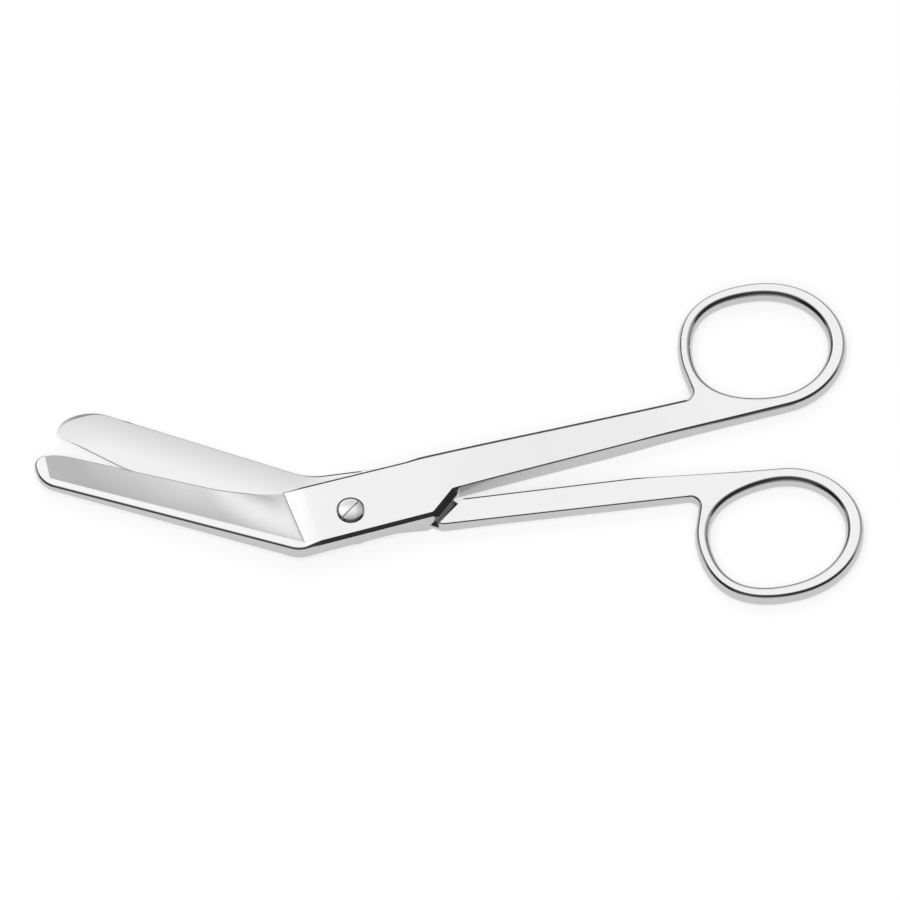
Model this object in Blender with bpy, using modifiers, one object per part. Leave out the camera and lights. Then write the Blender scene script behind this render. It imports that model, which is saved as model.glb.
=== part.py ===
"""Angled surgical scissors, half open: two forged steel halves that cross at a slotted screw.

Metres, +Z up. The origin is on the screw's axis, in the plane of the rear half's flat underside.
+X runs from the screw to the finger rings, midway between the two handles. Each half is drawn
lying along +X, in its own plan frame about the screw, and is then turned to its place at rest.
"""

import math

import bmesh
import bpy
import numpy as np
from mathutils import Matrix, Vector

mm = 0.001

# How far each half is turned from +X at rest, about the screw, in degrees.
FRONT_TURN = 6.6
REAR_TURN = -3.8

# Layers at the joint, from the underside of the rear half up.
REAR_LAP_T = 2.05 * mm
LAP_GAP = 0.10 * mm
FRONT_LAP_T = 3.45 * mm
FRONT_UNDER = REAR_LAP_T + LAP_GAP
FRONT_TOP = FRONT_UNDER + FRONT_LAP_T

# Handles and finger rings, which lie in one layer.
FRONT_SHANK_T = 4.0 * mm
REAR_SHANK_T = 3.5 * mm
REAR_SHANK_MID = 2.05 * mm
RING_T = 3.3 * mm
RING_MID = 2.0 * mm
HOLE_LENGTH = 24.1 * mm
HOLE_WIDTH = 20.0 * mm
HOLE_BLUNT = 0.33 * mm
RING_STOCK = 2.9 * mm
RING_SWELL = 0.33 * mm
RING_INNER_ROUND = 1.05 * mm
RING_OUTER_ROUND = 0.8 * mm
FRONT_RING = (78.15 * mm, 10.5 * mm)
FRONT_RING_TILT = -12.5
REAR_RING = (73.25 * mm, -12.65 * mm)
REAR_RING_TILT = 10.5

# The front half's plan: blade, lap and shank.
TIP_X = -49.6 * mm
SPINE_SLOPE = -0.696
SPINE_FOOT = (-13.6 * mm, -2.7 * mm)
CUT_SLOPE = -0.615
CUT_POINT = (-32.9 * mm, 20.2 * mm)
CUT_HEEL_X = -14.5 * mm
HEEL_LEAD = (-9.7 * mm, 7.15 * mm)
HEEL_TRAIL = (-12.2 * mm, 7.47 * mm)
TIP_ROUND = 5.2 * mm
TIP_CORNER = 4.8 * mm
BEND_ROUND = 5.0 * mm
LAP_LOW = -4.75 * mm
LAP_LOW_END = -5.25 * mm
LAP_HIGH = 7.05 * mm
LAP_HIGH_END = 6.3 * mm
SHOULDER_FOOT = (13.9 * mm, -5.25 * mm)
CROTCH = (18.5 * mm, -1.8 * mm)
CROTCH_FACET = 1.0 * mm
FOOT_ROUND = 1.6 * mm
SHANK_INNER = -1.37 * mm
SHANK_HIGH = 6.95 * mm
SHANK_HIGH_MID = 6.15 * mm
SHANK_HIGH_END = 4.72 * mm
SHANK_LEAD = (48.0 * mm, 5.42 * mm)
SHANK_TRAIL_X = 30.0 * mm
FRONT_STRAIGHT_TO = 52.0 * mm
FRONT_NECK_X = 64.0 * mm
NECK_ROUND = 1.5 * mm
RING_LEAD = 8.0 * mm
KINK_X = 12.0 * mm
KINK_RUN = 2.6 * mm
KINK_REST = 0.05 * mm

# The rear half's plan.
REAR_SPINE_SLOPE = -0.497
REAR_SPINE_POINT = (-36.4 * mm, 24.45 * mm)
REAR_BACK = 9.4 * mm
REAR_BACK_ROUND = 12.0 * mm
REAR_BACK_END_ROUND = 1.5 * mm
REAR_SPINE_END_X = -39.5 * mm
REAR_TIP_LEAD = (-43.8 * mm, 28.1 * mm)
REAR_TIP_TRAIL = (-48.55 * mm, 26.25 * mm)
REAR_TIP = (-48.9 * mm, 23.7 * mm)
REAR_TIP_FOOT = (-48.7 * mm, 22.95 * mm)
REAR_TIP_CORNER = 0.3 * mm
REAR_CUT_BEND = (-37.4 * mm, 14.6 * mm)
REAR_CUT_ROUND = 25.0 * mm
REAR_HEEL = (0.3 * mm, -4.1 * mm)
REAR_HEEL_ROUND = 3.0 * mm
REAR_LAP_LOW = (6.0 * mm, -2.6 * mm)
REAR_LAP_LOW_END = (13.6 * mm, -2.8 * mm)
REAR_KINK = (15.7 * mm, -3.85 * mm)
REAR_KINK_ROUND = (1.5 * mm, 2.0 * mm)
REAR_STEP_TOP = (19.85 * mm, 0.74 * mm)
REAR_STEP_FOOT = (15.1 * mm, -3.45 * mm)
REAR_INNER = 1.12 * mm
REAR_OUTER = -3.75 * mm
REAR_STRAIGHT_TO = 50.0 * mm
REAR_NECK_X = 60.8 * mm
REAR_NECK_ROUND = 1.6 * mm

# The front half's step, where its shank drops below the lap.
FRONT_STEP_TOP = (13.8 * mm, 6.5 * mm)
FRONT_STEP_FOOT = (19.5 * mm, -1.3 * mm)
STEP_PLAY = 0.3 * mm
STEP_RUN = 0.6 * mm
CLOSED_GAP_TURN = 5.0

# Where the handles swing between the lap's level and the rings' level, and where they thin to it.
SWAY_FROM = 14.0 * mm
SWAY_RUN = 46.0 * mm
REAR_SWAY_FROM = 30.0 * mm
REAR_SWAY_RUN = 35.0 * mm
REAR_LIFT_RUN = 12.0 * mm
THIN_FROM = 45.0 * mm
THIN_RUN = 25.0 * mm

# Edges: the arris of a lap, of a blade's back, and the rounding of a handle's outer side.
LAP_BEVEL = 0.58 * mm
LAP_BEVEL_DROP = 0.62 * mm
LAP_BEVEL_FROM = -6.3 * mm
LAP_ARRIS = 0.55 * mm
SPINE_ARRIS = 0.28 * mm
BROKEN_EDGE = 0.12 * mm
FRONT_SHANK_ROUND = 1.1 * mm
REAR_SHANK_ARRIS = 0.3 * mm
REAR_SHANK_ROUND = (1.3 * mm, 1.5 * mm)

# Blades: the strip that steps down from the lap, the lands, and the hollow grind.
STRIP_FROM = -6.8 * mm
STRIP_TO = -9.7 * mm
STRIP_DROP = 0.5 * mm
TIP_LAND_T = 1.35 * mm
REAR_STRIP_DROP = 0.2 * mm
REAR_TIP_T = 1.3 * mm
LAND_W = 1.35 * mm
TIP_LAND_FROM = -47.4 * mm
REAR_GRIND_TO = -52.0 * mm
EDGE_T = 0.25 * mm
GRIND_SAG = 0.045
GRIND_STEP = 0.25 * mm
GRIND_HEEL_FROM = -22.0 * mm
GRIND_TIP_FROM = -40.0 * mm
GRIND_TIP_RISE = 0.55 * mm
GRIND_LEAN = (-0.06, 0.09)
RELIEF_W = 7.5 * mm
RELIEF_DEPTH = 0.25 * mm
RELIEF_FROM = 3.0 * mm
RELIEF_RUN = 12.0 * mm

# The screw.
HEAD_R = 2.38 * mm
HEAD_RIM = 0.25 * mm
HEAD_CROWN = 0.7 * mm
HEAD_SEAT = 1.3 * mm
HEAD_PLAY = 0.1 * mm
STEM_R = 1.25 * mm
STEM_PLAY = 0.06 * mm
SLOT_W = 0.38 * mm
SLOT_DEPTH = 0.55 * mm
SLOT_TURN = 37.0

# How far the cutting tools reach past what they cut, and past the whole piece.
BEYOND = 5.0 * mm
FAR = 80.0 * mm

# Fineness of the mesh.
STEP_ALONG = 2.6 * mm
STEPS_ROUND = 7
STEPS_RING = 60
STEPS_EDGE = 3
STEPS_GRIND = 15
STEPS_ACROSS = 10
BORE_SIDES = 48


def clear_scene():
    for obj in list(bpy.data.objects):
        bpy.data.objects.remove(obj, do_unlink=True)


def steel(name, shade, roughness):
    material = bpy.data.materials.new(name)
    material.use_nodes = True
    shader = material.node_tree.nodes["Principled BSDF"]
    shader.inputs["Base Color"].default_value = (shade, shade, shade, 1)
    shader.inputs["Metallic"].default_value = 1.0
    shader.inputs["Roughness"].default_value = roughness
    return material


def smooth_step(value):
    value = min(max(value, 0.0), 1.0)
    return value * value * (3 - 2 * value)


class Edge:
    """The section of a piece's rim: how far its arrises are set in, which share of the wall they take,
    and between which slopes they turn, in degrees from level."""

    def __init__(self, top_in, top_share, low_in, low_share, first=0.0, last=90.0):
        self.values = np.array([top_in, top_share, low_in, low_share, math.radians(first), math.radians(last)])

    def towards(self, other, share):
        mixed = Edge(0, 0, 0, 0)
        mixed.values = self.values * (1 - share) + other.values * share
        return mixed

    def levels(self):
        """(inset, height) pairs from the top face down to the lower face, heights from 1 to 0."""
        top_in, top_share, low_in, low_share, first, last = self.values
        arc = np.linspace(first, last, STEPS_EDGE + 1)
        outward = (np.sin(arc) - math.sin(first)) / (math.sin(last) - math.sin(first))
        downward = (math.cos(first) - np.cos(arc)) / (math.cos(first) - math.cos(last))
        upper = [(top_in * (1 - out), 1 - top_share * down) for out, down in zip(outward, downward)]
        lower = [(low_in * (1 - out), low_share * down) for out, down in zip(outward, downward)]
        return upper + lower[::-1]


class Outline:
    """A closed run of plan points, each with the edge that it carries there."""

    def __init__(self):
        self.points = []
        self.edges = []

    def add(self, points, edge, last=None):
        last = last or edge
        count = max(len(points) - 1, 1)
        for index, point in enumerate(points):
            point = Vector(point[:2])
            if self.points and (point - self.points[-1]).length < BROKEN_EDGE / 6:
                continue
            self.points.append(point)
            self.edges.append(edge.towards(last, index / count))

    def line(self, end, edge, last=None):
        start = self.points[-1]
        end = Vector(end)
        count = max(1, round((end - start).length / STEP_ALONG))
        self.add([start.lerp(end, step / count) for step in range(count + 1)], edge, last)

    def corner(self, corner, after, radius, edge, last=None):
        """A line towards a corner that an arc of this radius rounds, on the way to the next point."""
        corner, after = Vector(corner), Vector(after)
        back = (self.points[-1] - corner).normalized()
        ahead = (after - corner).normalized()
        half = back.angle(ahead) / 2
        reach = radius / math.tan(half)
        self.line(corner + back * reach, edge)
        centre = corner + (back + ahead).normalized() * (radius / math.sin(half))
        first = corner + back * reach - centre
        last_point = corner + ahead * reach - centre
        turn = first.angle_signed(last_point)
        arc = []
        for step in range(STEPS_ROUND + 1):
            spun = Matrix.Rotation(-turn * step / STEPS_ROUND, 2) @ first
            arc.append(centre + spun)
        self.add(arc, edge, last)


def bezier(start, lead, trail, end, count):
    points = []
    for step in range(count + 1):
        t = step / count
        points.append(
            Vector(start) * (1 - t) ** 3
            + Vector(lead) * 3 * t * (1 - t) ** 2
            + Vector(trail) * 3 * t * t * (1 - t)
            + Vector(end) * t**3
        )
    return points


def on_line(point, slope, x):
    return (x, point[1] + slope * (x - point[0]))


def crossing(point_a, slope_a, point_b, slope_b):
    x = (point_b[1] - point_a[1] + slope_a * point_a[0] - slope_b * point_b[0]) / (slope_a - slope_b)
    return on_line(point_a, slope_a, x)


def hole_point(ring, tilt, angle, out=0.0):
    """A point of the finger hole, an ellipse whose end by the shank is a little squared off, or
    the point that lies straight out from it."""

    def at(value):
        blunt = HOLE_BLUNT * math.cos(4 * value) * (1 - math.cos(value)) / 2
        radial = Vector((math.cos(value), math.sin(value)))
        return Vector((HOLE_LENGTH / 2 * radial.x, HOLE_WIDTH / 2 * radial.y)) - radial * blunt

    along = at(angle + 1e-4) - at(angle - 1e-4)
    outward = Vector((along.y, -along.x)).normalized()
    local = at(angle) + outward * out
    return Vector(ring) + Matrix.Rotation(math.radians(tilt), 2) @ local


def ring_stock(angle):
    return RING_STOCK + RING_SWELL * math.cos(angle)


def ring_outer(ring, tilt, angle):
    return hole_point(ring, tilt, angle, ring_stock(angle))


def tangent_angle(ring, tilt, start, low, high):
    """The angle at which a straight line from a point just touches the outside of the ring."""
    best = None
    for value in np.linspace(low, high, 2001):
        point = ring_outer(ring, tilt, value)
        along = ring_outer(ring, tilt, value + 1e-3) - point
        away = point - Vector(start)
        miss = abs(along.normalized().cross(away.normalized()))
        if best is None or miss < best[0]:
            best = (miss, value)
    return best[1]


def edges_of(front):
    """The kinds of edge that a half carries, by name."""
    full = FRONT_TOP - front_low(0) if front else REAR_SHANK_MID + REAR_SHANK_T / 2
    fine = BROKEN_EDGE / full
    bevel = LAP_BEVEL_DROP / full
    front_outer = Edge(FRONT_SHANK_ROUND, 0.5, FRONT_SHANK_ROUND, 0.5)
    low_in, low_high = REAR_SHANK_ROUND
    rear_outer = Edge(REAR_SHANK_ARRIS, REAR_SHANK_ARRIS / REAR_SHANK_T, low_in, low_high / REAR_SHANK_T)
    return {
        "ring": Edge(RING_OUTER_ROUND, 0.5, RING_OUTER_ROUND, 0.5),
        "hole": Edge(RING_INNER_ROUND, 0.5, RING_INNER_ROUND, 0.5),
        "inner": Edge(BROKEN_EDGE, fine, BROKEN_EDGE, fine),
        "outer": front_outer if front else rear_outer,
        "bevel": Edge(LAP_BEVEL, bevel, LAP_BEVEL, bevel, 35, 55),
        "arris": Edge(LAP_ARRIS, LAP_ARRIS / full, LAP_ARRIS, LAP_ARRIS / full),
        "spine": Edge(SPINE_ARRIS, SPINE_ARRIS / full, SPINE_ARRIS, SPINE_ARRIS / full),
    }


def front_outline():
    kinds = edges_of(True)
    spine, bevel, inner, ring, outer = (kinds[name] for name in ("spine", "bevel", "inner", "ring", "outer"))
    arris = kinds["arris"]
    lap_line = (STRIP_FROM, LAP_LOW)
    lap_slope = (LAP_LOW_END - LAP_LOW) / (SHOULDER_FOOT[0] - STRIP_FROM)
    bend = crossing(SPINE_FOOT, SPINE_SLOPE, lap_line, lap_slope)
    low_tip = on_line(SPINE_FOOT, SPINE_SLOPE, TIP_X)
    high_tip = on_line(CUT_POINT, CUT_SLOPE, TIP_X)
    cut_way = Vector((1, CUT_SLOPE)).normalized()
    cut_start = Vector(high_tip) + cut_way * (1.8 * TIP_ROUND)
    outline = Outline()
    tip_top = Vector((TIP_X, high_tip[1] - TIP_ROUND))
    outline.add([tip_top], spine)
    outline.corner(low_tip, bend, TIP_CORNER, spine)
    outline.corner(bend, SHOULDER_FOOT, BEND_ROUND, spine)
    outline.line(on_line(lap_line, lap_slope, LAP_BEVEL_FROM), spine, bevel)
    outline.corner(SHOULDER_FOOT, CROTCH, FOOT_ROUND, bevel, inner)
    outline.line(CROTCH, inner)
    outline.line((CROTCH[0] + CROTCH_FACET, SHANK_INNER), inner)
    start = Vector((FRONT_STRAIGHT_TO, SHANK_INNER))
    neck = (FRONT_NECK_X, SHANK_HIGH_END)
    low = tangent_angle(FRONT_RING, FRONT_RING_TILT, start, math.radians(-110), math.radians(-50))
    high = tangent_angle(FRONT_RING, FRONT_RING_TILT, neck, math.radians(150), math.radians(230))
    touch = ring_outer(FRONT_RING, FRONT_RING_TILT, low)
    outline.line(start, inner)
    outline.add(bezier(start, start + Vector((RING_LEAD, 0)), touch.lerp(start, 0.5), touch, 8), inner, ring)
    around = np.linspace(low, high, STEPS_RING)
    outline.add([ring_outer(FRONT_RING, FRONT_RING_TILT, value) for value in around], ring)
    outline.corner(neck, (FRONT_STRAIGHT_TO, SHANK_HIGH_END), NECK_ROUND, ring, outer)
    kink = (KINK_X + KINK_RUN, SHANK_HIGH)
    outline.add(bezier(outline.points[-1], SHANK_LEAD, (SHANK_TRAIL_X, SHANK_HIGH_MID), kink, 16), outer)
    outline.line((KINK_X, LAP_HIGH_END + KINK_REST), outer, arris)
    outline.line((STRIP_FROM, LAP_HIGH), arris)
    heel = on_line(CUT_POINT, CUT_SLOPE, CUT_HEEL_X)
    outline.add(bezier(outline.points[-1], HEEL_LEAD, HEEL_TRAIL, heel, 6), arris, inner)
    outline.line(cut_start, inner)
    outline.add(
        bezier(
            cut_start,
            Vector(high_tip) + cut_way * (0.8 * TIP_ROUND),
            Vector(high_tip) - Vector((0, 0.42 * TIP_ROUND)),
            tip_top,
            9,
        )[:-1],
        inner,
        spine,
    )
    return outline


def rear_outline():
    kinds = edges_of(False)
    spine, bevel, inner, ring, outer = (kinds[name] for name in ("spine", "bevel", "inner", "ring", "outer"))
    arris = kinds["arris"]
    outline = Outline()
    outline.add([Vector(REAR_TIP).lerp(Vector(REAR_TIP_FOOT), 0.4)], inner)
    outline.corner(REAR_TIP_FOOT, REAR_CUT_BEND, REAR_TIP_CORNER, inner)
    outline.corner(REAR_CUT_BEND, REAR_HEEL, REAR_CUT_ROUND, inner)
    outline.corner(REAR_HEEL, REAR_LAP_LOW, REAR_HEEL_ROUND, inner, arris)
    outline.corner(REAR_LAP_LOW, REAR_LAP_LOW_END, REAR_HEEL_ROUND, arris)
    outline.corner(REAR_LAP_LOW_END, REAR_KINK, REAR_KINK_ROUND[0], arris, outer)
    neck = (REAR_NECK_X, REAR_OUTER)
    outline.corner(REAR_KINK, neck, REAR_KINK_ROUND[1], outer)
    start = Vector((REAR_STRAIGHT_TO, REAR_INNER))
    high = tangent_angle(REAR_RING, REAR_RING_TILT, neck, math.radians(130), math.radians(210))
    low = tangent_angle(REAR_RING, REAR_RING_TILT, start, math.radians(50), math.radians(110))
    outline.corner(neck, ring_outer(REAR_RING, REAR_RING_TILT, high), REAR_NECK_ROUND, outer, ring)
    around = np.linspace(high, low + math.tau, STEPS_RING)
    outline.add([ring_outer(REAR_RING, REAR_RING_TILT, value) for value in around], ring)
    touch = outline.points[-1]
    outline.add(bezier(touch, touch.lerp(start, 0.5), start + Vector((RING_LEAD, 0)), start, 8), ring, inner)
    outline.line((REAR_STEP_TOP[0] + 4 * BROKEN_EDGE, REAR_STEP_TOP[1] + BROKEN_EDGE), inner)
    turned_by = math.radians(FRONT_TURN - REAR_TURN - CLOSED_GAP_TURN)
    step_foot = Matrix.Rotation(turned_by, 2) @ Vector(FRONT_STEP_FOOT)
    step_top = Matrix.Rotation(turned_by, 2) @ Vector(FRONT_STEP_TOP)
    way = (step_top - step_foot).normalized()
    step_foot += Vector((-way.y, way.x)) * STEP_PLAY
    back_corner = step_foot + way * ((REAR_BACK - step_foot.y) / way.y)
    outline.line(step_foot + way * STEP_RUN, inner)
    outline.corner(back_corner, (0, REAR_BACK), REAR_BACK_END_ROUND, inner, arris)
    bend = crossing((0, REAR_BACK), 0.0, REAR_SPINE_POINT, REAR_SPINE_SLOPE)
    spine_end = on_line(REAR_SPINE_POINT, REAR_SPINE_SLOPE, REAR_SPINE_END_X)
    outline.corner(bend, spine_end, REAR_BACK_ROUND, arris, spine)
    outline.line(spine_end, spine)
    outline.add(bezier(spine_end, REAR_TIP_LEAD, REAR_TIP_TRAIL, REAR_TIP, 10), spine)
    return outline


def front_mid(x):
    start, end = FRONT_TOP - FRONT_SHANK_T / 2, RING_MID
    return start + (end - start) * smooth_step((x - SWAY_FROM) / SWAY_RUN)


def handle_half_t(x, shank_t):
    return shank_t / 2 + (RING_T - shank_t) / 2 * smooth_step((x - THIN_FROM) / THIN_RUN)


def front_top(x):
    if x > STRIP_FROM:
        return min(FRONT_TOP, front_mid(x) + handle_half_t(x, FRONT_SHANK_T))
    if x > STRIP_TO:
        return FRONT_TOP - STRIP_DROP * (STRIP_FROM - x) / (STRIP_FROM - STRIP_TO)
    land = FRONT_TOP - STRIP_DROP
    tip = FRONT_UNDER + TIP_LAND_T
    return land + (tip - land) * (STRIP_TO - x) / (STRIP_TO - TIP_X)


def front_low(x):
    return front_mid(x) - handle_half_t(x, FRONT_SHANK_T)


def rear_mid(x):
    return REAR_SHANK_MID + (RING_MID - REAR_SHANK_MID) * smooth_step((x - REAR_SWAY_FROM) / REAR_SWAY_RUN)


def rear_top(x):
    return rear_mid(x) + handle_half_t(x, REAR_SHANK_T)


def rear_low(x):
    if x > STRIP_FROM:
        drop = REAR_SHANK_MID - REAR_SHANK_T / 2
        below = rear_mid(x) - handle_half_t(x, REAR_SHANK_T) - drop
        return below + drop * smooth_step((x - SWAY_FROM) / REAR_LIFT_RUN)
    if x > STRIP_TO:
        return REAR_STRIP_DROP * (STRIP_FROM - x) / (STRIP_FROM - STRIP_TO)
    tip = REAR_LAP_T - REAR_TIP_T
    return REAR_STRIP_DROP + (tip - REAR_STRIP_DROP) * (STRIP_TO - x) / (STRIP_TO - TIP_X)


def normals_of(points):
    """For each plan point of a counter-clockwise run, the way to the material's side."""
    found = []
    for index, point in enumerate(points):
        before, after = points[index - 1], points[(index + 1) % len(points)]
        way_in = (point - before).normalized()
        way_out = (after - point).normalized()
        bisector = Vector((-way_in.y - way_out.y, way_in.x + way_out.x)).normalized()
        stretch = max(bisector.dot(Vector((-way_in.y, way_in.x))), 0.5)
        found.append(bisector / stretch)
    return found


def skirt(mesh, points, edges):
    """The wall along a run of plan points: one loop of vertices a level, joined by quads."""
    inward = normals_of(points)
    rows = []
    for point, edge, way in zip(points, edges, inward):
        rows.append([mesh.verts.new((*(point + way * inset), height)) for inset, height in edge.levels()])
    for index, row in enumerate(rows):
        following = rows[(index + 1) % len(rows)]
        for level in range(len(row) - 1):
            mesh.faces.new((row[level], row[level + 1], following[level + 1], following[level]))
    return rows


def slab(name, outline, hole, folds, top, low):
    """A flat piece with shaped rims: stacked offsets of its outline, capped, then given its height."""
    mesh = bmesh.new()
    rows = [skirt(mesh, outline.points, outline.edges), skirt(mesh, hole.points, hole.edges)]
    for level in (0, -1):
        rim = []
        for ring_rows in rows:
            loop = [row[level] for row in ring_rows]
            rim += [mesh.edges.get((a, b)) for a, b in zip(loop, loop[1:] + loop[:1])]
        bmesh.ops.triangle_fill(mesh, use_beauty=True, use_dissolve=True, edges=rim)
    for x in folds:
        everything = mesh.verts[:] + mesh.edges[:] + mesh.faces[:]
        bmesh.ops.bisect_plane(mesh, geom=everything, dist=1e-7, plane_co=(x, 0, 0), plane_no=(1, 0, 0))
    for vert in mesh.verts:
        upper, lower = top(vert.co.x), low(vert.co.x)
        vert.co.z = lower + (upper - lower) * vert.co.z
    bmesh.ops.triangulate(mesh, faces=[face for face in mesh.faces if len(face.verts) > 4])
    bmesh.ops.recalc_face_normals(mesh, faces=mesh.faces)
    data = bpy.data.meshes.new(name)
    mesh.to_mesh(data)
    mesh.free()
    return bpy.data.objects.new(name, data)


def hole_outline(ring, tilt, edge):
    """The finger hole, run clockwise, so that its material is on the same hand as an outer run's."""
    outline = Outline()
    for step in range(STEPS_RING):
        angle = -math.tau * step / STEPS_RING
        outline.points.append(hole_point(ring, tilt, angle))
        outline.edges.append(edge)
    return outline


def prism(name, corners, low, high):
    """A cutter: a plan polygon between two heights."""
    mesh = bmesh.new()
    base = [mesh.verts.new((*corner[:2], low)) for corner in corners]
    made = bmesh.ops.extrude_face_region(mesh, geom=[mesh.faces.new(base)])
    raised = [item for item in made["geom"] if isinstance(item, bmesh.types.BMVert)]
    bmesh.ops.translate(mesh, verts=raised, vec=(0, 0, high - low))
    bmesh.ops.recalc_face_normals(mesh, faces=mesh.faces)
    data = bpy.data.meshes.new(name)
    mesh.to_mesh(data)
    mesh.free()
    return cutter(bpy.data.objects.new(name, data))


def turned(name, profile, sides):
    """A piece turned about Z, from (radius, height) pairs that run down its outer side."""
    data = bpy.data.meshes.new(name)
    points = [(radius, 0, height) for radius, height in profile]
    data.from_pydata(points, [(index, index + 1) for index in range(len(points) - 1)], [])
    obj = bpy.data.objects.new(name, data)
    screw = obj.modifiers.new("turn", "SCREW")
    screw.steps = screw.render_steps = sides
    screw.use_merge_vertices = True
    screw.merge_threshold = 1e-6
    screw.use_smooth_shade = True
    return obj


def cutter(obj):
    obj.hide_render = True
    obj.display_type = "WIRE"
    return obj


def cut(obj, tool, operation="DIFFERENCE"):
    boolean = obj.modifiers.new(tool.name, "BOOLEAN")
    boolean.operation = operation
    boolean.solver = "EXACT"
    boolean.object = tool


def lofted(name, rows, clear):
    """A cutter: its working face runs through rows of points, its other side lies at the clear level."""
    mesh = bmesh.new()
    loops = []
    for row in rows:
        corners = [*row, (*row[-1][:2], clear), (*row[0][:2], clear)]
        loops.append([mesh.verts.new(corner) for corner in corners])
    for loop, following in zip(loops, loops[1:]):
        for index, vert in enumerate(loop):
            after = (index + 1) % len(loop)
            mesh.faces.new((vert, loop[after], following[after], following[index]))
    for cap in (loops[0], loops[-1]):
        mesh.faces.new(cap)
    bmesh.ops.recalc_face_normals(mesh, faces=mesh.faces)
    bmesh.ops.triangulate(mesh, faces=[face for face in mesh.faces if len(face.verts) == 4])
    data = bpy.data.meshes.new(name)
    mesh.to_mesh(data)
    mesh.free()
    return cutter(bpy.data.objects.new(name, data))


def shade(obj, material):
    obj.data.materials.append(material)
    obj.data.shade_smooth()
    obj.data.set_sharp_from_angle(angle=math.radians(28))


def thinned(x, thin, root, rise):
    """The level of a cutting edge: thin along the blade, up to the root's level at the heel, and a
    little fuller at the tip."""
    heel = smooth_step((x - GRIND_HEEL_FROM) / (STRIP_TO - GRIND_HEEL_FROM))
    tip = smooth_step((GRIND_TIP_FROM - x) / (GRIND_TIP_FROM - TIP_X))
    return thin + (root - thin) * heel + rise * tip


def grind_rows(back, cut_y, surface, edge_level, far_x, outward):
    """The hollow of a blade from the land along its back to its cutting edge, as rows of points.

    outward is 1 for a hollow in the upper face and -1 for one in the lower face.
    """
    land_width = (LAND_W + SPINE_ARRIS) * math.hypot(1, back[1])
    rows = []
    for share in np.linspace(0, 1, STEPS_GRIND):
        x = STRIP_TO + (far_x - STRIP_TO) * share
        lean = GRIND_LEAN[0] + (GRIND_LEAN[1] - GRIND_LEAN[0]) * share
        back_y, edge_y = on_line(*back, x)[1], cut_y(x)
        side = math.copysign(1, edge_y - back_y)
        land_y = back_y + side * land_width
        width = abs(edge_y - land_y) / math.hypot(1, back[1])
        sag = outward * GRIND_SAG * width
        land_z, edge_z = surface(x), edge_level(x)
        row = []
        for t in np.linspace(-0.15, 1.25, STEPS_ACROSS):
            y = land_y + (edge_y - land_y) * t
            z = land_z + (edge_z - land_z) * t - 4 * sag * t * (1 - t)
            row.append((x + lean * (y - (land_y + edge_y) / 2), y, z))
        rows.append(row)
    return rows


def relief_rows(outline):
    """The slight fall of the rear blade's inner face towards its back, as rows of points."""
    back = [point for point in outline.points if point.x < RELIEF_FROM + BEYOND]
    low_line = (REAR_CUT_BEND, REAR_SPINE_SLOPE)
    back = sorted((point.x, point.y) for point in back if point.y > on_line(*low_line, point.x)[1] + RELIEF_W)
    rows = []
    for share in np.linspace(0, 1, STEPS_GRIND):
        x = RELIEF_FROM + (REAR_TIP[0] - SPINE_ARRIS - RELIEF_FROM) * share
        back_y = np.interp(x, [point[0] for point in back], [point[1] for point in back])
        depth = RELIEF_DEPTH * (0.08 + 0.92 * smooth_step((RELIEF_FROM - x) / RELIEF_RUN))
        row = []
        for t in np.linspace(-0.25, 1.25, STEPS_ACROSS):
            row.append((x, back_y - RELIEF_W * (1 - t), REAR_LAP_T - depth * t * abs(t)))
        rows.append(row)
    return rows


def folds_of(outline):
    handle = [KINK_X + STEP_ALONG * step for step in range(23)]
    return [STRIP_FROM, STRIP_TO] + handle


def bore_cut(name, seat):
    """The tool for a plain bore, or for a bore with the seat of the screw's head above it."""
    wall, head, top = STEM_R + STEM_PLAY, HEAD_R + HEAD_PLAY, FRONT_TOP + BEYOND
    profile = [(wall, top), (wall, -BEYOND), (0, -BEYOND)]
    if seat:
        profile = [(head, top), (head, FRONT_TOP - HEAD_SEAT), (wall, FRONT_TOP - HEAD_SEAT)] + profile[1:]
    return cutter(turned(name, [(0, top)] + profile, BORE_SIDES))


def build_front(parts, cutters):
    hole = hole_outline(FRONT_RING, FRONT_RING_TILT, edges_of(True)["hole"])
    outline = front_outline()
    half = slab("front_half", outline, hole, folds_of(outline), front_top, front_low)
    step_way = (Vector(FRONT_STEP_TOP) - Vector(FRONT_STEP_FOOT)).normalized()
    below = Vector(FRONT_STEP_FOOT) - step_way * STEP_PLAY
    above = Vector(FRONT_STEP_TOP) + step_way * BEYOND
    corners = [(-FAR, -FAR), (below.x, -FAR), below, above, (above.x, FAR), (-FAR, FAR)]
    lap = prism("front_lap_cut", corners, -BEYOND, FRONT_UNDER)
    root = front_top(STRIP_TO) - GRIND_STEP
    hollow = grind_rows(
        (SPINE_FOOT, SPINE_SLOPE),
        lambda x: max(on_line(CUT_POINT, CUT_SLOPE, x)[1], LAP_HIGH),
        front_top,
        lambda x: thinned(x, FRONT_UNDER + EDGE_T, root, GRIND_TIP_RISE),
        TIP_LAND_FROM,
        1,
    )
    tools = (lap, bore_cut("front_bore_cut", True), lofted("front_grind", hollow, FRONT_TOP + BEYOND))
    return finish_half(half, tools, parts, cutters)


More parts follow.
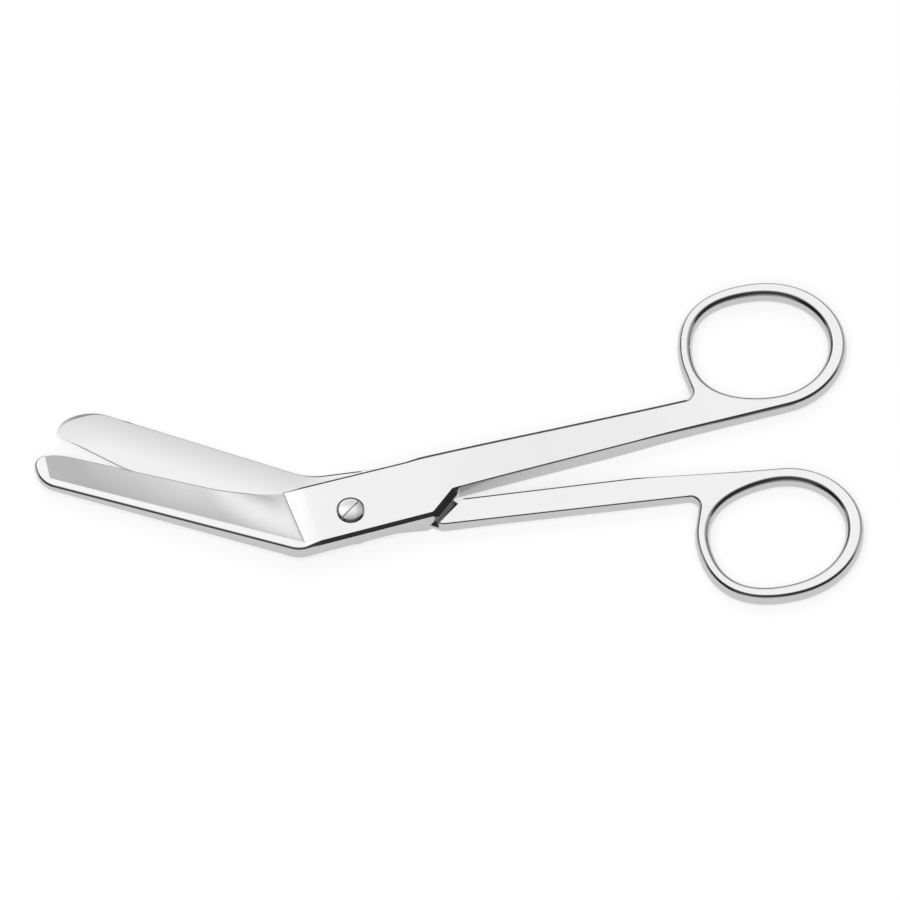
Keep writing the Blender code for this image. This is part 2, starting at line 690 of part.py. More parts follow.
def build_rear(parts, cutters):
    hole = hole_outline(REAR_RING, REAR_RING_TILT, edges_of(False)["hole"])
    outline = rear_outline()
    half = slab("rear_half", outline, hole, folds_of(outline), rear_top, rear_low)
    step_way = (Vector(REAR_STEP_TOP) - Vector(REAR_STEP_FOOT)).normalized()
    above = Vector(REAR_STEP_TOP) + step_way * (2 * BROKEN_EDGE + REAR_INNER)
    below = Vector(REAR_STEP_FOOT) - step_way * BEYOND
    corners = [(-FAR, FAR), (-FAR, below.y), below, above, (above.x, FAR)]
    lap = prism("rear_lap_cut", corners, REAR_LAP_T, FRONT_TOP + BEYOND)
    cut_way = (REAR_CUT_BEND[1] - REAR_HEEL[1]) / (REAR_CUT_BEND[0] - REAR_HEEL[0])
    tip_way = (REAR_CUT_BEND[1] - REAR_TIP_FOOT[1]) / (REAR_CUT_BEND[0] - REAR_TIP_FOOT[0])
    root = rear_low(STRIP_TO) + GRIND_STEP
    hollow = grind_rows(
        (REAR_SPINE_POINT, REAR_SPINE_SLOPE),
        lambda x: max(on_line(REAR_CUT_BEND, cut_way, x)[1], on_line(REAR_CUT_BEND, tip_way, x)[1]),
        rear_low,
        lambda x: thinned(x, REAR_LAP_T - EDGE_T, root, 0),
        REAR_GRIND_TO,
        -1,
    )
    tools = (
        lap,
        bore_cut("rear_bore_cut", False),
        lofted("rear_grind", hollow, -BEYOND),
        lofted("rear_relief", relief_rows(outline), FRONT_TOP + BEYOND),
    )
    return finish_half(half, tools, parts, cutters)


def finish_half(half, tools, parts, cutters):
    parts.objects.link(half)
    for tool in tools:
        cut(half, tool)
        cutters.objects.link(tool)
    return half, tools


def build_screw(parts, cutters):
    head_top = FRONT_TOP + HEAD_RIM
    sphere = (HEAD_R**2 + HEAD_CROWN**2) / (2 * HEAD_CROWN)
    profile = []
    for step in range(7):
        radius = HEAD_R * step / 6
        profile.append((radius, head_top + HEAD_CROWN - sphere + math.sqrt(sphere**2 - radius**2)))
    seat = FRONT_TOP - HEAD_SEAT + HEAD_PLAY
    profile += [(HEAD_R, seat), (STEM_R, seat), (STEM_R, 0), (0, 0)]
    screw = turned("pivot_screw", profile, BORE_SIDES)
    slot = prism(
        "slot_cut",
        [(-BEYOND, -SLOT_W / 2), (BEYOND, -SLOT_W / 2), (BEYOND, SLOT_W / 2), (-BEYOND, SLOT_W / 2)],
        head_top + HEAD_CROWN - SLOT_DEPTH,
        head_top + BEYOND,
    )
    slot.rotation_euler.z = math.radians(SLOT_TURN)
    cut(screw, slot)
    parts.objects.link(screw)
    cutters.objects.link(slot)
    return screw, (slot,)


def main():
    clear_scene()
    parts = bpy.data.collections.new("angled_surgical_scissors")
    cutters = bpy.data.collections.new("cutters")
    for collection in (parts, cutters):
        bpy.context.scene.collection.children.link(collection)
    polished = steel("polished_steel", 0.62, 0.12)
    front, front_tools = build_front(parts, cutters)
    rear, rear_tools = build_rear(parts, cutters)
    screw, _ = build_screw(parts, cutters)
    for obj, turn, tools in ((front, FRONT_TURN, front_tools), (rear, REAR_TURN, rear_tools)):
        for piece in (obj, *tools):
            piece.rotation_euler.z = math.radians(turn)
    for obj in (front, rear, screw):
        shade(obj, polished)


main()
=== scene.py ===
# %% [markdown]
# # Angled surgical scissors
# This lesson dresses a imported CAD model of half-open surgical scissors. The CAD solids say where every
# piece is and how it moves. Here each of them gets a finer twin with smooth rounded edges and ground
# faces, and then steel finishes, a pale floor, soft light and a camera.

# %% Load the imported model
import math

import bmesh
import bpy
import numpy as np
from mathutils import Matrix, Vector


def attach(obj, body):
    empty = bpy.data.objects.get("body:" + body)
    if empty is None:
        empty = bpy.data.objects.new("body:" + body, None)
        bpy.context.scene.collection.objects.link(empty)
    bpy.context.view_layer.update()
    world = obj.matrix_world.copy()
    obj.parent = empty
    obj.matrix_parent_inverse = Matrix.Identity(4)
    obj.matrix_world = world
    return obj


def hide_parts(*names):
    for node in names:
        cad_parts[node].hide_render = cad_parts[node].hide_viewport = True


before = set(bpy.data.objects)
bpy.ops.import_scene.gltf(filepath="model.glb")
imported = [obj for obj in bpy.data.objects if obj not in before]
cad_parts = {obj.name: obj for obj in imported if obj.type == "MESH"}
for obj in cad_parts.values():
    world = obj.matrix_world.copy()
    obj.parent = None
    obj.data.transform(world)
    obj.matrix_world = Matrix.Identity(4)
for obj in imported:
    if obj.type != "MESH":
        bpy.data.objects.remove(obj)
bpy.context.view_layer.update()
mm = 0.001
print("CAD nodes:", sorted(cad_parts))

# %% [markdown]
# ## The driving sizes
# Each half is drawn flat in its own plan, lying along +X from the screw, and is then turned to where the
# open scissors hold it. The two halves share the layer that the table touches: the front half rises from
# it to pass over the rear one. All sizes are real ones, measured in the photograph against its scale.

# %% Sizes shared by both halves
FRONT_TURN, REAR_TURN = math.radians(6.6), math.radians(-3.8)
REAR_LAP_TOP = 2.05 * mm
FRONT_UNDER = 2.15 * mm
FRONT_TOP = 5.6 * mm
RING_THICK, RING_MIDDLE = 3.3 * mm, 2.0 * mm
HOLE_LENGTH, HOLE_WIDTH, HOLE_BLUNT = 24.1 * mm, 20.0 * mm, 0.33 * mm
RING_STOCK, RING_SWELL = 2.9 * mm, 0.33 * mm
STRIP_FROM, STRIP_TO = -6.8 * mm, -9.7 * mm
TIP_LAND_FROM = -47.4 * mm
KINK_X = 12.0 * mm
BROKEN_EDGE = 0.12 * mm
SPINE_ARRIS = 0.52 * mm
LAND_WIDTH = 1.11 * mm
EDGE_THICK = 0.25 * mm
print("layers at the screw, mm:", [round(z / mm, 2) for z in (0, REAR_LAP_TOP, FRONT_UNDER, FRONT_TOP)])

# %% [markdown]
# ## Drawing an outline
# A forged blank is a flat outline with rounded corners. A run of plan points is enough to hold it, if each
# point also knows what kind of edge it carries: a crisp arris, a wide bevel, or the half-round side of
# a finger ring. Between two kinds the edge changes little by little, as a hand-finished edge does.

# %% Edge sections
EDGE_STEPS, EDGE_CROWD = 8, 1.6


class Edge:
    """A rim's section: how far its upper and lower arris are set in, and how tall they are.

    First and last are the tilts at the ends of an arris, in degrees. Tuck is how far inside the outline
    the upper arris ends, where the wall below it leans. The steps of an arris crowd towards the flat face,
    so that the face stays evenly shaded up to its rim.
    """

    def __init__(self, top_in, top_tall, low_in, low_tall, first=0.0, last=90.0, tuck=0.0):
        tilts = [math.radians(first), math.radians(last)]
        self.values = np.array([top_in, top_tall, low_in, low_tall, *tilts, tuck])

    def towards(self, other, share):
        mixed = Edge(0, 0, 0, 0)
        mixed.values = self.values * (1 - share) + other.values * share
        return mixed

    def levels(self, thick):
        """(inset, height) pairs from the top face down to the lower face, heights from 1 to 0."""
        top_in, top_tall, low_in, low_tall, first, last, tuck = self.values
        top_share, low_share = min(top_tall / thick, 0.5), min(low_tall / thick, 0.5)
        arc = first + (last - first) * np.linspace(0, 1, EDGE_STEPS + 1) ** EDGE_CROWD
        out = (np.sin(arc) - math.sin(first)) / (math.sin(last) - math.sin(first))
        down = (math.cos(first) - np.cos(arc)) / (math.cos(first) - math.cos(last))
        upper = [(top_in + (tuck - top_in) * o, 1 - top_share * d) for o, d in zip(out, down)]
        lower = [(low_in * (1 - o), low_share * d) for o, d in zip(out, down)]
        return upper + lower[::-1]


def round_edge(radius):
    return Edge(radius, radius, radius, radius)


FRONT_SHANK_THICK = 4.0 * mm
REAR_SHANK_THICK, REAR_SHANK_MIDDLE = 3.5 * mm, 2.05 * mm
ring_edge = Edge(0.8 * mm, 1.65 * mm, 0.8 * mm, 1.65 * mm)
hole_edge = Edge(1.05 * mm, 1.65 * mm, 1.05 * mm, 1.65 * mm)
crisp_edge = round_edge(BROKEN_EDGE)
near_edge = round_edge(0.27 * mm)
spine_edge = round_edge(SPINE_ARRIS)
bevel_edge = Edge(0.66 * mm, 0.52 * mm, 0.58 * mm, 0.62 * mm, 32, 44)
shoulder_edge = Edge(0.7 * mm, 1.08 * mm, 0.12 * mm, 2.0 * mm, 38, 46, -0.42 * mm)
far_edge = Edge(0.5 * mm, 0.2 * mm, 0.3 * mm, 0.3 * mm, 22, 31, 0.1 * mm)
rear_far_edge = Edge(0.32 * mm, 0.16 * mm, 0.2 * mm, 0.2 * mm, 22, 31)
front_outer_edge = Edge(1.1 * mm, 0.28 * mm, 1.1 * mm, 2.0 * mm, 20, 31, 0.53 * mm)
rear_outer_edge = Edge(0.3 * mm, 0.3 * mm, 1.3 * mm, 1.5 * mm)
print("levels in a rim:", len(ring_edge.levels(RING_THICK)))

# %% [markdown]
# The pen that draws the plan goes round the blank counter-clockwise. It knows straight lines, rounded
# corners and smooth Bezier curves, and drops a point that would fall on the one before it. Steps of fixed
# length along the straights keep the later faces well shaped.

# %% Outline runs
LINE_STEP = 1.5 * mm
CORNER_STEPS = 20
RING_STEPS = 220


class Outline:
    """A closed run of plan points, drawn counter-clockwise, each with its edge."""

    def __init__(self):
        self.points = []
        self.edges = []

    def add(self, points, edge, last=None):
        last = last or edge
        count = max(len(points) - 1, 1)
        for index, point in enumerate(points):
            point = Vector(point[:2])
            if self.points and (point - self.points[-1]).length < 0.01 * mm:
                continue
            self.points.append(point)
            self.edges.append(edge.towards(last, index / count))

    def line(self, end, edge, last=None):
        start, end = self.points[-1], Vector(end)
        count = max(1, round((end - start).length / LINE_STEP))
        self.add([start.lerp(end, step / count) for step in range(count + 1)], edge, last)

    def corner(self, corner, after, radius, edge, last=None):
        """A line to a corner that an arc of this radius rounds, on the way to the next point."""
        corner, after = Vector(corner), Vector(after)
        back = (self.points[-1] - corner).normalized()
        ahead = (after - corner).normalized()
        half = back.angle(ahead) / 2
        reach = radius / math.tan(half)
        self.line(corner + back * reach, edge)
        centre = corner + (back + ahead).normalized() * (radius / math.sin(half))
        first = corner + back * reach - centre
        turn = first.angle_signed(corner + ahead * reach - centre)
        arc = [Matrix.Rotation(-turn * step / CORNER_STEPS, 2) @ first for step in range(CORNER_STEPS + 1)]
        self.add([centre + spoke for spoke in arc], edge, last)


def bezier(start, lead, trail, end, count=24):
    ends = [Vector(point) for point in (start, lead, trail, end)]
    shares = []
    for t in np.linspace(0, 1, count + 1):
        weights = ((1 - t) ** 3, 3 * t * (1 - t) ** 2, 3 * t * t * (1 - t), t**3)
        shares.append(sum((point * weight for point, weight in zip(ends, weights)), Vector((0, 0))))
    return shares


def on_line(point, slope, x):
    return (x, point[1] + slope * (x - point[0]))


def crossing(point_a, slope_a, point_b, slope_b):
    x = (point_b[1] - point_a[1] + slope_a * point_a[0] - slope_b * point_b[0]) / (slope_a - slope_b)
    return on_line(point_a, slope_a, x)


sample_run = Outline()
sample_run.add([(0, 0)], crisp_edge)
sample_run.line((6 * mm, 0), crisp_edge)
print("points on a line of 6 mm:", len(sample_run.points))

# %% [markdown]
# ## Finger rings
# The holes are ovals, a little blunter where the shank joins. An ellipse with a small ripple draws that,
# and stepping straight out from it by the width of the stock gives the ring's outer side.

# %% Ring curves
FRONT_RING, FRONT_RING_TILT = Vector((78.15 * mm, 10.5 * mm)), math.radians(-12.5)
REAR_RING, REAR_RING_TILT = Vector((73.25 * mm, -12.65 * mm)), math.radians(10.5)
RING_LEAD = 8 * mm


def hole_point(ring, tilt, angle, out=0.0):
    def at(value):
        blunt = HOLE_BLUNT * math.cos(4 * value) * (1 - math.cos(value)) / 2
        spoke = Vector((math.cos(value), math.sin(value)))
        return Vector((HOLE_LENGTH / 2 * spoke.x, HOLE_WIDTH / 2 * spoke.y)) - spoke * blunt

    along = at(angle + 1e-4) - at(angle - 1e-4)
    outward = Vector((along.y, -along.x)).normalized()
    return ring + Matrix.Rotation(tilt, 2) @ (at(angle) + outward * out)


def ring_outer(ring, tilt, angle):
    return hole_point(ring, tilt, angle, RING_STOCK + RING_SWELL * math.cos(angle))


def tangent_angle(ring, tilt, start, low, high):
    """The angle at which a straight line from a point just touches the outside of the ring."""
    misses = []
    for value in np.radians(np.linspace(low, high, 2001)):
        point = ring_outer(ring, tilt, value)
        along = ring_outer(ring, tilt, value + 1e-3) - point
        misses.append((abs(along.normalized().cross((point - Vector(start)).normalized())), value))
    return min(misses)[1]


def hole_outline(ring, tilt):
    """The finger hole, run clockwise, so that its material is on the same hand as an outer run's."""
    outline = Outline()
    for step in range(RING_STEPS):
        outline.points.append(hole_point(ring, tilt, -math.tau * step / RING_STEPS))
        outline.edges.append(hole_edge)
    return outline


print("hole in mm:", round(HOLE_LENGTH / mm, 1), "x", round(HOLE_WIDTH / mm, 1))

# %% [markdown]
# ## The front half
# Its outline runs from the rounded tip along the blade's back, round the bend, along the lap and down the
# slanting shoulder to the shank, round the ring, and home along the shank's outer side and the cutting edge.

# %% Front outline
TIP_X, TIP_ROUND, TIP_CORNER, BEND_ROUND = -49.6 * mm, 5.2 * mm, 4.8 * mm, 5.0 * mm
SPINE_FOOT, SPINE_SLOPE = (-13.6 * mm, -2.7 * mm), -0.696
CUT_POINT, CUT_SLOPE, CUT_HEEL_X = (-32.9 * mm, 20.2 * mm), -0.615, -14.5 * mm
BEVEL_FROM = -6.3 * mm
LAP_LOW, LAP_LOW_END = -4.75 * mm, -5.25 * mm
LAP_HIGH, LAP_HIGH_END = 7.05 * mm, 6.3 * mm
SHOULDER_FOOT, CROTCH, CROTCH_FACET = (13.9 * mm, -5.25 * mm), (18.5 * mm, -1.8 * mm), 1.0 * mm
SHANK_INNER = -1.37 * mm
SHANK_HIGH, SHANK_HIGH_MID, SHANK_HIGH_END = 6.95 * mm, 6.15 * mm, 4.72 * mm
KINK_RUN, FRONT_NECK_X, FRONT_INNER_END_X = 2.6 * mm, 64.0 * mm, 52 * mm


def front_outline():
    lap_slope = (LAP_LOW_END - LAP_LOW) / (SHOULDER_FOOT[0] - STRIP_FROM)
    bend = crossing(SPINE_FOOT, SPINE_SLOPE, (STRIP_FROM, LAP_LOW), lap_slope)
    low_tip = on_line(SPINE_FOOT, SPINE_SLOPE, TIP_X)
    high_tip = Vector(on_line(CUT_POINT, CUT_SLOPE, TIP_X))
    cut_way = Vector((1, CUT_SLOPE)).normalized()
    cut_start = high_tip + cut_way * (1.8 * TIP_ROUND)
    tip_top = Vector((TIP_X, high_tip.y - TIP_ROUND))
    outline = Outline()
    outline.add([tip_top], spine_edge)
    outline.corner(low_tip, bend, TIP_CORNER, spine_edge)
    outline.corner(bend, SHOULDER_FOOT, BEND_ROUND, spine_edge)
    bevel_start = outline.points[-1]
    bevel_full = Vector(on_line((STRIP_FROM, LAP_LOW), lap_slope, BEVEL_FROM))
    growing = [bevel_start.lerp(bevel_full, share) for share in np.linspace(0, 1, 16)]
    outline.add(growing, spine_edge, bevel_edge)
    outline.corner(SHOULDER_FOOT, CROTCH, 1.6 * mm, bevel_edge, shoulder_edge)
    outline.line(CROTCH, shoulder_edge)
    outline.line((CROTCH[0] + CROTCH_FACET, SHANK_INNER), shoulder_edge, near_edge)
    start = Vector((FRONT_INNER_END_X, SHANK_INNER))
    neck = (FRONT_NECK_X, SHANK_HIGH_END)
    low = tangent_angle(FRONT_RING, FRONT_RING_TILT, start, -110, -50)
    high = tangent_angle(FRONT_RING, FRONT_RING_TILT, neck, 150, 230)
    touch = ring_outer(FRONT_RING, FRONT_RING_TILT, low)
    outline.line(start, near_edge)
    lead, trail = start + Vector((RING_LEAD, 0)), touch.lerp(start, 0.5)
    outline.add(bezier(start, lead, trail, touch), near_edge, ring_edge)
    around = np.linspace(low, high, RING_STEPS)
    outline.add([ring_outer(FRONT_RING, FRONT_RING_TILT, value) for value in around], ring_edge)
    outline.corner(neck, (FRONT_NECK_X - 10 * mm, SHANK_HIGH_END), 1.5 * mm, ring_edge, front_outer_edge)
    kink = (KINK_X + KINK_RUN, SHANK_HIGH)
    lead, trail = (48 * mm, SHANK_HIGH_END + 0.7 * mm), (30 * mm, SHANK_HIGH_MID)
    outline.add(bezier(outline.points[-1], lead, trail, kink, 48), front_outer_edge)
    outline.line((KINK_X, LAP_HIGH_END + 0.05 * mm), front_outer_edge, far_edge)
    strip_corner, heel = (STRIP_FROM, LAP_HIGH), on_line(CUT_POINT, CUT_SLOPE, CUT_HEEL_X)
    outline.line(strip_corner, far_edge)
    lead, trail = (STRIP_TO, LAP_HIGH + 0.1 * mm), (-12.2 * mm, LAP_HIGH + 0.42 * mm)
    outline.add(bezier(strip_corner, lead, trail, heel), far_edge, crisp_edge)
    outline.line(cut_start, crisp_edge)
    lead, trail = high_tip + cut_way * (0.8 * TIP_ROUND), high_tip - Vector((0, 0.42 * TIP_ROUND))
    outline.add(bezier(cut_start, lead, trail, tip_top)[:-1], crisp_edge, spine_edge)
    return outline


print("front outline points:", len(front_outline().points))

# %% [markdown]
# ## The rear half
# It is the same blank turned over: a wider blade end shows, its lap hides under the front half, and a
# slanting step lifts its shank to the level of the other one.

# %% Rear outline
REAR_SPINE_POINT, REAR_SPINE_SLOPE = (-36.4 * mm, 24.45 * mm), -0.497
REAR_BACK = 9.4 * mm
REAR_TIP, REAR_TIP_FOOT = Vector((-48.9 * mm, 23.7 * mm)), Vector((-48.7 * mm, 22.95 * mm))
REAR_TIP_LEAD, REAR_TIP_TRAIL = (-43.8 * mm, 28.1 * mm), (-48.55 * mm, 26.25 * mm)
REAR_CUT_BEND, REAR_HEEL = (-37.4 * mm, 14.6 * mm), (0.3 * mm, -4.1 * mm)
REAR_LAP_LOW = -2.6 * mm
REAR_STEP_TOP, REAR_STEP_FOOT = Vector((19.85 * mm, 0.74 * mm)), Vector((15.1 * mm, -3.45 * mm))
REAR_INNER, REAR_INNER_END_X = 1.12 * mm, 50 * mm
REAR_OUTER, REAR_NECK_X = -3.75 * mm, 60.8 * mm
FRONT_STEP_TOP, FRONT_STEP_FOOT = Vector((13.8 * mm, 6.5 * mm)), Vector((19.5 * mm, -1.3 * mm))
STEP_PLAY = 0.3 * mm
CLOSED_TURN = math.radians(5.0)


def rear_back_corner():
    """Where the rear lap's hidden end runs beside the front half's step when the scissors are closed."""
    turn = Matrix.Rotation(FRONT_TURN - REAR_TURN - CLOSED_TURN, 2)
    foot, top = turn @ FRONT_STEP_FOOT, turn @ FRONT_STEP_TOP
    way = (top - foot).normalized()
    foot = foot + Vector((-way.y, way.x)) * STEP_PLAY
    return foot + way * (0.6 * mm), foot + way * ((REAR_BACK - foot.y) / way.y)


def rear_outline():
    outline = Outline()
    outline.add([REAR_TIP.lerp(REAR_TIP_FOOT, 0.4)], crisp_edge)
    outline.corner(REAR_TIP_FOOT, REAR_CUT_BEND, 0.3 * mm, crisp_edge)
    outline.corner(REAR_CUT_BEND, REAR_HEEL, 25 * mm, crisp_edge)
    low_start, low_end = (6 * mm, REAR_LAP_LOW), (13.6 * mm, REAR_LAP_LOW - 0.2 * mm)
    kink, neck = (15.7 * mm, REAR_OUTER - 0.1 * mm), Vector((REAR_NECK_X, REAR_OUTER))
    outline.corner(REAR_HEEL, low_start, 3 * mm, crisp_edge)
    outline.corner(low_start, low_end, 3 * mm, crisp_edge)
    outline.corner(low_end, kink, 1.5 * mm, crisp_edge, rear_outer_edge)
    outline.corner(kink, neck, 2 * mm, rear_outer_edge)
    start = Vector((REAR_INNER_END_X, REAR_INNER))
    high = tangent_angle(REAR_RING, REAR_RING_TILT, neck, 130, 210)
    low = tangent_angle(REAR_RING, REAR_RING_TILT, start, 50, 110)
    outline.corner(neck, ring_outer(REAR_RING, REAR_RING_TILT, high), 1.6 * mm, rear_outer_edge, ring_edge)
    around = np.linspace(high, low + math.tau, RING_STEPS)
    outline.add([ring_outer(REAR_RING, REAR_RING_TILT, value) for value in around], ring_edge)
    touch = outline.points[-1]
    lead, trail = touch.lerp(start, 0.5), start + Vector((RING_LEAD, 0))
    outline.add(bezier(touch, lead, trail, start), ring_edge, rear_far_edge)
    outline.line((REAR_STEP_TOP.x + 4 * BROKEN_EDGE, REAR_STEP_TOP.y + BROKEN_EDGE), rear_far_edge)
    foot, back_corner = rear_back_corner()
    outline.line(foot, crisp_edge)
    outline.corner(back_corner, (0, REAR_BACK), 1.5 * mm, crisp_edge)
    bend = crossing((0, REAR_BACK), 0.0, REAR_SPINE_POINT, REAR_SPINE_SLOPE)
    spine_end = on_line(REAR_SPINE_POINT, REAR_SPINE_SLOPE, -39.5 * mm)
    outline.corner(bend, spine_end, 12 * mm, crisp_edge)
    outline.line(spine_end, crisp_edge)
    outline.add(bezier(spine_end, REAR_TIP_LEAD, REAR_TIP_TRAIL, REAR_TIP), crisp_edge)
    return outline


print("rear outline points:", len(rear_outline().points))

# %% [markdown]
# ## Thickness
# Seen from the side, each half swings between the lap's level and the ring's level, and each blade thins
# towards its tip. Because the height depends only on the place along the handle, one formula for the top
# and one for the underside give every point of the flat drawing its level.

# %% Heights along a half
def smooth_step(value):
    value = min(max(value, 0.0), 1.0)
    return value * value * (3 - 2 * value)


SLIVER = 0.004 * mm
STRIP_DROP, TIP_THICK = 0.5 * mm, 1.35 * mm
REAR_STRIP_DROP, REAR_TIP_THICK = 0.2 * mm, 1.3 * mm


def half_thickness(x, shank):
    return shank / 2 + (RING_THICK - shank) / 2 * smooth_step((x - 45 * mm) / (25 * mm))


def front_middle(x):
    start = FRONT_TOP - FRONT_SHANK_THICK / 2
    return start + (RING_MIDDLE - start) * smooth_step((x - KINK_X - 2 * mm) / (46 * mm))


def blade_share(x):
    """0 at the root of the blade, 1 at its tip."""
    return (STRIP_TO - x) / (STRIP_TO - TIP_X)


def front_top(x):
    if x > STRIP_FROM:
        return min(FRONT_TOP, front_middle(x) + half_thickness(x, FRONT_SHANK_THICK))
    if x > STRIP_TO:
        return FRONT_TOP - STRIP_DROP * (STRIP_FROM - x) / (STRIP_FROM - STRIP_TO)
    root = FRONT_TOP - STRIP_DROP
    return root + (FRONT_UNDER + TIP_THICK - root) * blade_share(x)


def front_low(x):
    return front_middle(x) - half_thickness(x, FRONT_SHANK_THICK)


def rear_middle(x):
    return REAR_SHANK_MIDDLE + (RING_MIDDLE - REAR_SHANK_MIDDLE) * smooth_step((x - 30 * mm) / (35 * mm))


REAR_RISE_X = 12.6 * mm


def rear_top(x):
    if x < REAR_RISE_X + SLIVER:
        return REAR_LAP_TOP
    return rear_middle(x) + half_thickness(x, REAR_SHANK_THICK)


def rear_low(x):
    if x > STRIP_FROM:
        flush = REAR_SHANK_MIDDLE - REAR_SHANK_THICK / 2
        below = rear_middle(x) - half_thickness(x, REAR_SHANK_THICK) - flush
        return below + flush * smooth_step((x - KINK_X - 2 * mm) / (12 * mm))
    if x > STRIP_TO:
        return REAR_STRIP_DROP * (STRIP_FROM - x) / (STRIP_FROM - STRIP_TO)
    return REAR_STRIP_DROP + (REAR_LAP_TOP - REAR_TIP_THICK - REAR_STRIP_DROP) * blade_share(x)


for x in (-45, 0, 30, 75):
    print("x", x, "front", round(front_top(x * mm) / mm, 2), "rear", round(rear_top(x * mm) / mm, 2))

# %% [markdown]
# ## Shader helpers
# Node trees read better as formulas. A wrapped socket adds its own Math nodes when it meets an operator.

# %% Sockets as values
class Value:
    """A socket of a node tree, with arithmetic."""

    def __init__(self, tree, socket):
        self.tree, self.socket = tree, socket

    def math(self, operation, first, second):
        return node(self.tree, "ShaderNodeMath", {"operation": operation}, {0: first, 1: second})

    def __add__(self, other):
        return self.math("ADD", self, other)

    def __radd__(self, other):
        return self.math("ADD", other, self)

    def __sub__(self, other):
        return self.math("SUBTRACT", self, other)

    def __rsub__(self, other):
        return self.math("SUBTRACT", other, self)

    def __mul__(self, other):
        return self.math("MULTIPLY", self, other)

    def __rmul__(self, other):
        return self.math("MULTIPLY", other, self)


def node(tree, kind, settings=None, inputs=None, output=0):
    """Adds a node with its settings first, then the values or links of its sockets."""
    made = tree.nodes.new(kind)
    for name, value in (settings or {}).items():
        if name == "stops":
            ramp = made.color_ramp
            while len(ramp.elements) < len(value):
                ramp.elements.new(0.5)
            for element, (position, shade) in zip(ramp.elements, value):
                element.position, element.color = position, (shade, shade, shade, 1)
        else:
            setattr(made, name, value)
    for name, value in (inputs or {}).items():
        if isinstance(value, Value):
            tree.links.new(value.socket, made.inputs[name])
        else:
            made.inputs[name].default_value = value
    return Value(tree, made.outputs[output])


# %% [markdown]
# ## Steel finishes
# The blanks are polished bright after grinding. Polishing leaves very fine random hairlines, which only
# soften the reflections. The hollow keeps a trace of the wheel, running across the blade. Its colour is
# painted light: lighter than the polished steel near the blade's root, and painted shade towards the tip,
# darker where the hollow would mirror darker surroundings. These finishes come before the solids, because
# each cutting tool brings its own finish along to the faces that it leaves.

# %% Polished and ground steel
# The ground steel's colour is painted light: a painted sheen at the blade's root, painted shade at its tip.
POLISHED_GREY, GROUND_ROOT_PAINTED_SHEEN_GREY, GROUND_TIP_PAINTED_SHADE_GREY = 0.555, 0.72, 0.48
PAINTED_SHADE_TIP_PLACE, PAINTED_SHADE_ROOT_PLACE = -0.050, -0.022


def steel(name, roughness, spread, line_scale, bump_height, root_grey_and_sheen, tip_grey_and_shade):
    material = bpy.data.materials.new(name)
    material.use_nodes = True
    tree = material.node_tree
    shader = tree.nodes["Principled BSDF"]
    shader.inputs["Metallic"].default_value = 1.0
    place = node(tree, "ShaderNodeTexCoord", output="Object")
    along = node(tree, "ShaderNodeSeparateXYZ", inputs={0: place}, output="X")
    # Colour along X, from the tip's to the root's: painted shade and sheen in the ground steel, even in the
    # polished.
    limits = {"Value": along, 1: PAINTED_SHADE_TIP_PLACE, 2: PAINTED_SHADE_ROOT_PLACE, 3: tip_grey_and_shade, 4: root_grey_and_sheen}
    grey_with_painted_light = node(tree, "ShaderNodeMapRange", {"interpolation_type": "SMOOTHSTEP"}, limits)
    tree.links.new(grey_with_painted_light.socket, shader.inputs["Base Color"])
    stretched = node(tree, "ShaderNodeMapping", inputs={"Vector": place, "Scale": line_scale})
    lines = node(tree, "ShaderNodeTexNoise", inputs={"Vector": stretched, "Scale": 1.0, "Detail": 4.0})
    cloud = node(tree, "ShaderNodeTexNoise", inputs={"Vector": place, "Scale": 90.0, "Detail": 3.0})
    tree.links.new((roughness + (cloud + lines - 1.0) * spread).socket, shader.inputs["Roughness"])
    relief = {"Height": lines, "Strength": 1.0, "Distance": bump_height}
    bump = node(tree, "ShaderNodeBump", inputs=relief)
    tree.links.new(bump.socket, shader.inputs["Normal"])
    return material


polished = steel("polished_steel", 0.15, 0.06, (900, 2500, 900), 0.2e-6, POLISHED_GREY, POLISHED_GREY)
ground = steel("ground_steel_painted_light", 0.42, 0.06, (3000, 700, 900), 0.3e-6, GROUND_ROOT_PAINTED_SHEEN_GREY, GROUND_TIP_PAINTED_SHADE_GREY)
print("finishes:", polished.name, ground.name)

# %% [markdown]
# ## From outline to solid
# The rim is a skirt of quads: at each outline point, one column of vertices steps inwards as the edge's
# section says. The two flat faces are filled between the outer rim and the ring's hole, sliced where the
# height changes, and lifted to their levels. Smooth slices keep the long sway of the shank free of facets.

# %% The slab builder
SLICE, SLICES_TO = 0.8 * mm, 72 * mm


def solid(name, mesh, finish=0):
    """A new object from a bmesh. It carries both finishes, and its faces start with one of them."""
    bmesh.ops.recalc_face_normals(mesh, faces=mesh.faces)
    for face in mesh.faces:
        face.material_index = finish
    data = bpy.data.meshes.new(name)
    mesh.to_mesh(data)
    mesh.free()
    for material in (polished, ground):
        data.materials.append(material)
    obj = bpy.data.objects.new(name, data)
    bpy.context.scene.collection.objects.link(obj)
    return obj


def inward_normals(points):
    found = []
    for index, point in enumerate(points):
        before, after = points[index - 1], points[(index + 1) % len(points)]
        way_in, way_out = (point - before).normalized(), (after - point).normalized()
        bisector = Vector((-way_in.y - way_out.y, way_in.x + way_out.x)).normalized()
        stretch = max(bisector.dot(Vector((-way_in.y, way_in.x))), 0.5)
        found.append(bisector / stretch)
    return found


def skirt(mesh, outline, thick):
    rows = []
    for point, edge, way in zip(outline.points, outline.edges, inward_normals(outline.points)):
        levels = edge.levels(thick(point.x))
        rows.append([mesh.verts.new((*(point + way * inset), height)) for inset, height in levels])
    for row, following in zip(rows, rows[1:] + rows[:1]):
        for level in range(len(row) - 1):
            mesh.faces.new((row[level], row[level + 1], following[level + 1], following[level]))
    return rows


